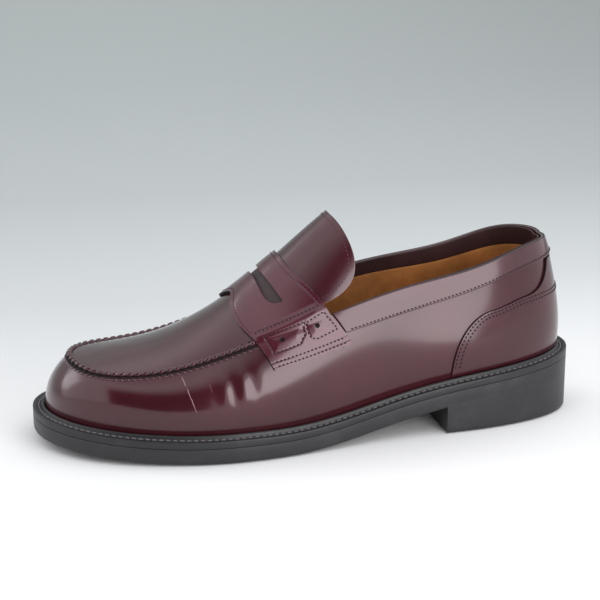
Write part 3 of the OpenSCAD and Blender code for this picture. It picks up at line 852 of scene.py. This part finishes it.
def gathered_lip(name, offset, width, height, pitch, pinch, skew, look="upper"):
    """One lip of the hand-sewn seam: a soft cord of leather, drawn in where its stitches pass."""
    centre, up, across = seam_path(offset)
    length = np.r_[0, np.cumsum(np.linalg.norm(np.diff(centre, axis=0), axis=1))]
    pitch = length[-1] / round(length[-1] / pitch)
    rows = []
    for a in np.linspace(0, 2 * math.pi, 14, endpoint=False):
        phase = 2 * math.pi * length / pitch + skew * math.cos(a)
        k = 1 - pinch * (0.5 + 0.5 * np.cos(phase)) ** 3
        rise = height if math.sin(a) > 0 else 1.0 * MM
        rows.append(centre + across * (width / 2 * math.cos(a) * (0.4 + 0.6 * k))[:, None]
                    + up * (rise * math.sin(a) * k)[:, None])
    return finish(loft(name, np.stack(rows, 1), capped=True), look, "upper_leather", angle=75)


def rolled_seam():
    """The rolled seam: a high gathered lip on the apron, a channel painted as a near-black cord of shade and
    a low lip on the wall.
    """
    z = sizes()
    high = gathered_lip("rolled_seam", 0.35 * MM, 3.0 * MM, 1.7 * MM, z.pucker_step, z.pucker_h, 1.3)
    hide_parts("moc_roll")
    # painted shade: the channel between the two lips is a near-black cord, not leather
    gathered_lip("seam_channel", -1.75 * MM, 1.4 * MM, 0.22 * MM, 50 * MM, 0.0, 0.0, "hole")
    gathered_lip("seam_lip", -3.0 * MM, 1.5 * MM, 0.65 * MM, z.pucker_step * 0.8, 0.75, 0.5)
    # the pricks on the apron are near-black dashes, painted shade in the needle holes
    for name, offset, lift, length, width, step, look in (  # thread on the wall, pricks on the apron
            ("seam_stitches", -2.3 * MM, 0.35 * MM, 0.52, 0.8 * MM, z.pucker_step * 0.8, "thread"),
            ("seam_pricks", -0.9 * MM, 1.15 * MM, 0.46, 0.75 * MM, z.pucker_step, "hole")):
        centre, up, across = seam_path(offset)
        stitch_row(name, [np.c_[centre + up * lift, up]], step, width, look, "upper_leather",
                   fill=length, lift=0.2, shift=1.0)


class LOAFER_OT_tongue(Step):
    """Makes the tongue and its lining"""

    bl_idname = "loafer.tongue"
    bl_label = "Tongue"

    def build(self):
        def place(depth, trim, reach):
            def lay(u, v):
                a = 2 * v - 1
                s = mix(LAST.SEAM_END + 0.0015, tongue_end(a) - trim, u)
                return LAST.on_skin(s, reach * np.sin(math.pi / 2 * a), depth)
            return lay
        z = sizes()
        piece = skin_piece("tongue_leather", 60, 110, place(0.0, 0, 0.92))
        thicken(piece, z.leather)
        finish(piece, "upper", "upper_leather", "tongue")
        piece = skin_piece("tongue_lining_leather", 60, 110, place(-z.leather + 0.1 * MM, -0.0003, 0.922))
        thicken(piece, z.lining, CUT_LINING)
        finish(piece, "lining", "lining_tan", "tongue_lining")


def tongue_end(a):
    """Where the tongue ends, a from -1 to 1 across it, with its middle rounded off."""
    return curve(np.sqrt(a * a + LAST.NOSE) / math.sqrt(1 + LAST.NOSE), LAST.TONGUE_END)


# The strap's bar slot: its edges in s at the middle line, and the share of the instep that it spans.
SLOT_FRONT, SLOT_REAR, SLOT_SHARE = 0.4195, 0.4285, 0.74


def slot_edges(u):
    """Front and rear edges of the strap's bar slot, u from -1 to 1 along it."""
    rear = SLOT_REAR + 0.0165 * u * u
    front = SLOT_FRONT + 0.006 * u * u
    return mix(front, rear, 1 - np.sqrt(np.clip(1 - np.abs(u) ** 8, 0, 1))), rear


# Outlines (s, w) of the two stitched flaps on each end of the strap.
FLAPS = (((0.4152, 0.984), (0.4205, 1.073), (0.4258, 1.162), (0.443, 1.158), (0.4597, 1.153),
          (0.462, 1.12), (0.4668, 1.078), (0.4642, 1.03), (0.4679, 0.984), (0.441, 0.984)),
         ((0.4689, 0.9935), (0.481, 0.9795), (0.4929, 0.9688), (0.5005, 1.056), (0.5083, 1.1436),
          (0.495, 1.155), (0.4811, 1.1644), (0.4735, 1.135), (0.4695, 1.06)))
S_MM, W_MM = 463.0, 60.0  # millimetres of leather to one step of s and of w, under the strap
SKIN_MM = np.array([S_MM, W_MM])
EDGE_ROW, END_ROWS, RIDGE_ROW = 2.1, (2.0, 5.0), 0.915  # rows: mm in from an edge, mm in from an end, w


def flap_depth(s, w):
    """Distance in millimetres from a place on the strap in to the nearest flap outline, - outside."""
    p = np.stack([s, np.abs(w)], -1)[..., None, :] * SKIN_MM
    best = np.full(s.shape, -99.0)
    for flap in FLAPS:
        a = np.array(flap) * SKIN_MM
        b = np.roll(a, -1, 0)
        t = np.clip(((p - a) * (b - a)).sum(-1) / ((b - a) ** 2).sum(-1), 0, 1)
        dist = np.linalg.norm(p - a - t[..., None] * (b - a), axis=-1).min(-1)
        up = (a[:, 1] > p[..., 1]) != (b[:, 1] > p[..., 1])
        x = a[:, 0] + (p[..., 1] - a[:, 1]) * (b[:, 0] - a[:, 0]) / (b[:, 1] - a[:, 1] + 1e-9)
        inside = (up & (p[..., 0] < x)).sum(-1) % 2 == 1
        best = np.maximum(best, np.where(inside, dist, -dist))
    return best


def strap_height(s, w):
    """The strap's face over the skin: ridge, puffed flaps and the channels that its stitches draw."""
    flap = flap_depth(s, w)
    front, rear = LAST.strap_front(w), LAST.strap_rear(w)
    share = (s - front) / (rear - front)
    edge = np.minimum(share, 1 - share) * ((rear - front) * S_MM)
    end = (LAST.STRAP_REACH - np.abs(w)) * W_MM
    hug = 0.35 + 0.65 * ramp(edge / 7)
    puff = 0.22 * MM * ramp((flap - 0.3) / 4.5)
    face = sizes().leather + 0.25 * MM + LAST.strap_rise(s, w) * hug + puff
    for distance in (flap, *(end - row for row in END_ROWS), (np.abs(w) - RIDGE_ROW) * W_MM,
                     np.where(np.abs(w) < 0.9, edge - EDGE_ROW, 9)):
        face = face - 0.11 * MM * np.exp(-(distance / 0.55) ** 2)
    return face


def strap_place(u, v):
    """The saddle strap: u across the foot, v from its front edge to its rear edge."""
    w = LAST.STRAP_REACH * (2 * u - 1)
    s = mix(LAST.strap_front(w), LAST.strap_rear(w), v)
    return LAST.on_skin(s, w, strap_height(s, w))


class LOAFER_OT_strap(Step):
    """Cuts the saddle strap with its bar slot and punched holes"""

    bl_idname = "loafer.strap"
    bl_label = "Saddle strap"

    def build(self):
        piece = skin_piece("strap_leather_piece", 400, 110, strap_place, flip=True)
        # the strap's cut edges get the near-black edge look: edge dye plus painted shadow along its lower
        # edge
        thicken(piece, sizes().leather, 0, ("strap", "edge"))
        for cutter in (slot_cutter(), *(punch(s, w) for s, w in HOLES)):
            apply_modifier(piece, "BOOLEAN", object=cutter, operation="DIFFERENCE", solver="EXACT")
            bpy.data.objects.remove(cutter)
        round_edges(piece, sizes().edge_round, use_clamp_overlap=True)
        finish(piece, "strap", "strap_leather", "saddle_strap")
        # each punched hole gets a near-black cup that paints the shade inside the hole
        for i, (s, w) in enumerate(HOLES):
            hole_cup("punched_hole_%d" % (i + 1), s, w)

        def bed(u, v):
            a = 2 * u - 1
            front, rear = slot_edges(a)
            return LAST.on_skin(mix(front - 0.005, rear + 0.005, v), 1.05 * SLOT_SHARE * a, 0.45 * MM)
        piece = skin_piece("slot_bed", 60, 8, bed, flip=True)
        thicken(piece, 0.4 * MM, 0)
        finish(piece, "slot_bed", "strap_leather")


def slot_cutter():
    """The cutter of the bar slot."""
    u = np.linspace(-0.999, 0.999, 120)
    front, rear = slot_edges(u)
    w = SLOT_SHARE * u
    path = np.stack([LAST.on_skin(front, w, -1 * MM), LAST.on_skin(front, w, 4 * MM),
                     LAST.on_skin(rear, w, 4 * MM), LAST.on_skin(rear, w, -1 * MM)], 1)
    return loft("slot_cutter", path, capped=True)


# Places (s, w) of the punched holes, two on each side of the foot.
HOLES = tuple((s, k * w) for s, w in ((0.4367, 1.061), (0.4826, 1.051)) for k in (LATERAL, MEDIAL))
HOLE_R = 1.3 * MM


def cylinder(middle, axis, radius, depth):
    """A short cylinder that stands along an axis."""
    pick_none()
    turn = Vector(axis).to_track_quat("Z", "Y").to_euler()
    bpy.ops.mesh.primitive_cylinder_add(vertices=28, radius=radius, depth=depth, location=middle,
                                        rotation=turn)
    bpy.ops.object.transform_apply(location=True, rotation=True)
    return bpy.context.object


def hole_cup(name, s, w):
    """The bottom of a punched hole: a near-black little cup of painted shade, set in flush under the strap's
    face.
    """
    face = float(strap_height(np.array([s]), np.array([w]))[0])
    low, high = LAST.on_skin(np.array([s, s]), np.array([w, w]), np.array([0.1 * MM, face - 0.35 * MM]))
    axis = unit(high - low)
    cup = cylinder((low + high) / 2, axis, HOLE_R + 0.02 * MM, float(np.linalg.norm(high - low)))
    cup.name = cup.data.name = name
    for side in cup.data.polygons:
        side.select = np.dot(side.normal, axis) > 0.9
    bpy.ops.object.mode_set(mode="EDIT")
    bpy.ops.mesh.select_mode(type="FACE")
    bpy.ops.mesh.inset(thickness=0.25 * MM)
    bpy.ops.transform.translate(value=tuple(-0.7 * MM * axis))
    bpy.ops.object.mode_set(mode="OBJECT")
    finish(cup, "hole", "strap_leather")


def punch(s, w):
    """The cutter of one punched hole."""
    low, high = LAST.on_skin(np.array([s, s]), np.array([w, w]), np.array([0.0, 1 * MM]))
    return cylinder(low, unit(high - low), HOLE_R, 9 * MM)


COUNTER_SPAN = 0.3372  # how far the counter cover runs to each side of the heel, in q


def overlay_face():
    """Height of the counter cover's outer face over the skin."""
    return sizes().overlay + 0.1 * MM


class LOAFER_OT_collar(Step):
    """Binds the topline with the collar band and closes the back with the counter cover"""

    bl_idname = "loafer.collar"
    bl_label = "Collar and counter"

    def build(self):
        def band(u, v):
            start = LAST.strap_rear(1 + (1 - v) * LAST.BAND_SHARE) + 0.002
            q = LAST.wrap(mix(start, 2 - start, u))
            lean = 0.7 * MM + 1.1 * MM * (1 - v ** 1.5)
            return LAST.on_wall(q, mix(LAST.band_low(np.abs(q)), 1, v), lean)

        def cover(u, v):
            q = LAST.wrap(1 + COUNTER_SPAN * (2 * u - 1))
            top = np.maximum(LAST.counter_top(np.abs(q)), 0.03)
            return LAST.on_wall(q, mix(0.02, top, v), overlay_face())
        for name, nu, nv, place, node in (("collar_band_leather", 300, 16, band, "collar_band"),
                                          ("counter_leather", 260, 44, cover, "counter_cover")):
            piece = skin_piece(name, nu, nv, place, flip=True)
            # the cut edges get the near-black edge look: edge dye plus painted shadow along the edge lines
            thicken(piece, sizes().overlay, looks=("upper", "edge"))
            finish(piece, "upper", "upper_leather", node)


class LOAFER_OT_lining(Step):
    """Lines the shoe and lays the sock on its insole"""
    # Lines the shoe, faces its topline and lines the underside of the apron

    bl_idname = "loafer.lining"
    bl_label = "Lining and sock"

    def build(self):
        z = sizes()

        def lay(q0, q1, t0, t1):
            def place(u, v):
                q = LAST.wrap(mix(q0, q1, u))
                return LAST.on_wall(q, mix(t0, t1, v), -LAST.lining_depth(q))
            return place
        for node, span, rise, rows, look, slot in (
                ("vamp_lining", (-0.522, 0.522), (-0.07, 0.95), 30, "lining", "lining_tan"),
                ("quarter_lining", (0.524, 1.476), (-0.07, 0.857), 30, "lining", "lining_tan"),
                ("collar_facing", (0.524, 1.476), (0.86, 1.0), 10, "facing", "facing_dark")):
            piece = skin_piece(node + "_leather", 160, rows, lay(*span, *rise), flip=True)
            thicken(piece, z.lining, CUT_LINING)
            finish(piece, look, slot, node)

        def under_apron(u, v):
            return LAST.on_skin(mix(0.1, LAST.SEAM_END, u), mix(-0.84, 0.84, v), -1.7 * MM)
        piece = skin_piece("apron_lining_leather", 80, 40, under_apron)
        thicken(piece, z.lining, CUT_LINING)
        finish(piece, "lining", "lining_tan", "apron_lining")


class LOAFER_OT_stitching(Step):
    """Sews every row of stitches"""

    bl_idname = "loafer.stitching"
    bl_label = "Stitching"

    def build(self):
        z = sizes()
        edges, outlines = strap_rows()
        stitch_row("strap_stitches", outlines, z.stitch_step, z.stitch_w, "thread", "strap_leather")
        stitch_row("quarter_stitches", [band_row(), *counter_rows()], z.stitch_step, z.stitch_w, "thread",
                   "upper_leather")
        # these rows use the lighter copy of the thread, a painted highlight
        stitch_row("edge_stitches", [*edges, tongue_row()], z.stitch_step, 0.8 * z.stitch_w, "highlit_thread",
                   "upper_leather")
        q = np.linspace(-1, 1, 900)
        inset, height = 3.3 * MM, 12.42 * MM  # the bottom of the welt's channel
        welt = np.c_[LAST.on_sole(q, np.full_like(q, inset), height), 0 * q, 0 * q, 0 * q + 1]
        stitch_row("welt_stitches", [welt], z.welt_step, 1.15 * MM, "welt_thread", "welt_rubber",
                   fill=0.86, lift=0.15)


def sewing_line(place, a, b, depth):
    """Points on a layer of the last, with its normals, from one of its ways to lay a point."""
    low, high = place(a, b, depth), place(a, b, depth + 0.1 * MM)
    return np.c_[low, unit(high - low)]


def strap_line(s, w):
    """A sewing line on the strap's face, sunk with its channel."""
    return sewing_line(LAST.on_skin, s, w, strap_height(s, w))


def strap_rows():
    """Rows along the strap's two long edges, then those round its flaps, along its ridge and at its ends."""
    edges, outlines = [], []
    w = np.linspace(-0.9, 0.9, 400)
    for near, k in ((LAST.strap_front, 1), (LAST.strap_rear, -1)):
        edges.append(strap_line(near(w) + k * EDGE_ROW / S_MM, w))
    share = np.linspace(0, 1, 160)
    for k in LATERAL, MEDIAL:
        for at in (*(LAST.STRAP_REACH - row / W_MM for row in END_ROWS), RIDGE_ROW):
            w = np.full(share.shape, k * at)
            front, rear = LAST.strap_front(w) + 2.4 / S_MM, LAST.strap_rear(w) - 2.4 / S_MM
            outlines.append(strap_line(mix(front, rear, share), w))
        for flap in FLAPS:
            corners = np.array(flap + flap[:1])
            t = np.linspace(0, len(flap), 40 * len(flap))
            s, w = (np.interp(t, range(len(corners)), column) for column in corners.T)
            outlines.append(strap_line(s, k * w))
    return edges, outlines


def tongue_row():
    """The row along the tongue's end."""
    a = np.linspace(-0.985, 0.985, 300)
    end = tongue_end(a) - 0.0055 - 0.004 * np.abs(a)
    return sewing_line(LAST.on_skin, end, 0.88 * np.sin(math.pi / 2 * a), 0.0)


def band_row():
    """The row along the collar band's lower edge."""
    q = LAST.wrap(np.linspace(0.525, 1.475, 500))
    return sewing_line(LAST.on_wall, q, LAST.band_low(np.abs(q)) + 0.02, 1.73 * MM)


def counter_rows():
    """The double row along the counter cover, offset in the plane of the flattened wall."""
    rows = []
    flat = np.array([300.0, 58.0])
    s = np.r_[0.6635 + 0.0715 * np.linspace(0, 1, 90)[1:] ** 2, np.linspace(0.737, 0.995, 90)]
    edge = np.stack([s, LAST.counter_base(s)], 1) * flat
    along = unit(np.gradient(edge, axis=0))
    for d in (1.0, 2.9):  # millimetres out from the cover's line
        p = (edge + d * np.stack([along[:, 1], -along[:, 0]], 1)) / flat
        p = p[p[:, 1] > 0.03]
        for k in LATERAL, MEDIAL:
            rows.append(sewing_line(LAST.on_wall, k * p[:, 0], p[:, 1], overlay_face()))
    return rows


class LOAFER_OT_carried(Step):
    """Dresses the CAD pieces that stay as they are"""

    bl_idname = "loafer.carried"
    bl_label = "Pieces inside"

    def build(self):
        for node, look in (("insole", "board"), ("sock_lining", "lining"), ("insole_rib", "canvas"),
                           ("cork_filler", "cork"), ("shank", "steel"), ("toe_puff", "felt"),
                           ("counter_stiffener", "felt")):
            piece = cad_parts[node]
            piece.data.materials.clear()
            piece.data.materials.append(finish_of(look))


# ---- stage ----
VIEW_TURN, VIEW_RISE, VIEW_DISTANCE = math.radians(-13.81), math.radians(19.15), 1.021
VIEW_TARGET_Z = 0.045
LENS, SENSOR = 112.38, 36
FLOOR_END, FLOOR_CURVE = 0.9, 0.35  # where the paper starts to rise behind the shoe, and how softly


def aim(thing, target):
    thing.rotation_euler = (Vector(target) - thing.location).to_track_quat("-Z", "Y").to_euler()


def strip_light(name, place, target, size, power):
    """A softbox that stands on the floor beside the camera."""
    light = bpy.data.lights.new(name, "AREA")
    light.shape = "RECTANGLE"
    light.size, light.size_y = size
    light.energy = power
    lamp = bpy.data.objects.new(name, light)
    bpy.context.collection.objects.link(lamp)
    lamp.location = place
    aim(lamp, target)
    return lamp


class LOAFER_OT_stage(Step):
    """Sets the floor, the backdrop, the lights and the camera"""

    bl_idname = "loafer.stage"
    bl_label = "Stage"

    def build(self):
        pick_none()
        bpy.ops.mesh.primitive_plane_add(size=6, location=(0, 0, -0.0005))
        bpy.ops.object.transform_apply(location=True)
        floor = bpy.context.object
        floor.name = "floor"
        edit(floor, (bpy.ops.mesh.subdivide, {"number_cuts": 60}))
        co = coords(floor)
        bend = np.clip(co[:, 1] - FLOOR_END, 0, None)
        co[:, 2] += 0.9 * bend ** 2 / (FLOOR_CURVE + bend)
        set_coords(floor, co)
        bpy.ops.object.shade_smooth()
        m = Shader("studio_paper")
        # Painted shade: the paper's colour falls from white near the shoe to grey at the back, and a share
        # of the right side is darkened, to stand in for the light falling off. The near floor keeps the
        # paper's own white.
        far = m.add("ShaderNodeMapRange", {},
                    {"Value": m.axis("Y"), "From Min": -0.25, "From Max": 1.35})
        paper_and_painted_shade = m.add("ShaderNodeValToRGB", {"stops": (
            (0.03, (0.84, 0.84, 0.835)), (0.156, (0.86, 0.86, 0.855)), (0.30, (0.60, 0.62, 0.62)),
            (0.47, (0.46, 0.49, 0.49)), (0.94, (0.36, 0.39, 0.38)))}, {0: far})
        painted_side_shade = m.between(m.axis("X"), 0.0, 0.9) * m.between(m.axis("Y"), 0.0, 0.5) * 0.22
        m.set(base_color=m.blend(painted_side_shade, paper_and_painted_shade, (0.0, 0.0, 0.0)), roughness=0.9, specular_ior_level=0.0)
        floor.data.materials.append(m.material)
        self.sky()
        strip_light("strip_light", (0.158, -0.48, 0.168), (0.035, -0.05, 0.168), (0.27, 0.33), 1.15)
        bpy.context.scene.view_settings.view_transform = "Standard"
        self.camera()

    def sky(self):
        """A white tent with a dark doorway round the camera and a brighter panel beyond the toe."""
        m = Shader("studio", world=True)
        x, y, z = m.axis("X"), m.axis("Y"), m.axis("Z")

        def panel(turn, half, low, high, soft, top):
            """Share of an upright panel: its turn, half width, lower and upper end and their softness."""
            a = math.radians(turn)
            across = abs(x * math.cos(a) + y * math.sin(a))
            ahead = m.between(x * math.sin(a) - y * math.cos(a), 0.0, 0.1)
            return (1 - m.between(across, half - soft, half + soft)) * m.between(z, low - soft, low + soft) \
                * (1 - m.between(z, high - top, high + top)) * ahead
        tent = m.blend(m.between(y, 0.5, 0.85), (1.42, 1.43, 1.47), (0.55, 0.57, 0.58))
        tent = m.blend(m.between(z, 0.85, 0.97), tent, (0.90, 0.92, 0.95))
        tent = m.blend(panel(-23, 0.34, -0.3, 0.72, 0.05, 0.14), tent, (0.05, 0.045, 0.05))
        tent = m.blend(panel(-122, 0.20, 0.2, 0.6, 0.08, 0.08), tent, (3.4, 3.4, 3.5))
        m.set(color=tent, strength=1.0)
        bpy.context.scene.world = m.material

    def camera(self):
        data = bpy.data.cameras.new("camera")
        data.sensor_width = SENSOR
        data.lens = LENS
        data.shift_x, data.shift_y = -0.0108, 0.0698
        data.clip_start = 0.05
        cam = bpy.data.objects.new("camera", data)
        bpy.context.collection.objects.link(cam)
        a, e = VIEW_TURN, VIEW_RISE
        back = Vector((math.sin(a) * math.cos(e), -math.cos(a) * math.cos(e), math.sin(e)))
        target = Vector((0, -LAST.mid_y, VIEW_TARGET_Z))
        cam.location = target + back * VIEW_DISTANCE
        aim(cam, target)
        bpy.context.scene.camera = cam


STEPS = (LOAFER_OT_sole, LOAFER_OT_skirt, LOAFER_OT_apron, LOAFER_OT_tongue, LOAFER_OT_strap,
         LOAFER_OT_collar, LOAFER_OT_lining, LOAFER_OT_stitching, LOAFER_OT_carried, LOAFER_OT_stage)


class LOAFER_PT_panel(bpy.types.Panel):
    """Lists the sizes, the colours and the building steps."""

    bl_idname = "LOAFER_PT_panel"
    bl_label = "Penny loafer"
    bl_space_type = "VIEW_3D"
    bl_region_type = "UI"
    bl_category = TAB

    def draw(self, context):
        for group in (context.scene.loafer_sizes, context.scene.loafer_colours):
            box = self.layout.box()
            for name in group.__annotations__:
                box.prop(group, name)
        for step in STEPS:
            self.layout.operator(step.bl_idname)


CLASSES = (LoaferSizes, LoaferColours, *STEPS, LOAFER_PT_panel)


def register():
    for c in CLASSES:
        bpy.utils.register_class(c)
    bpy.types.Scene.loafer_sizes = PointerProperty(type=LoaferSizes)
    bpy.types.Scene.loafer_colours = PointerProperty(type=LoaferColours)


def unregister():
    del bpy.types.Scene.loafer_sizes, bpy.types.Scene.loafer_colours
    for c in reversed(CLASSES):
        bpy.utils.unregister_class(c)


def main():
    """Builds every step in order."""
    register()
    for step in STEPS:
        group, name = step.bl_idname.split(".")
        getattr(getattr(bpy.ops, group), name)()


if __name__ == "__main__":
    main()
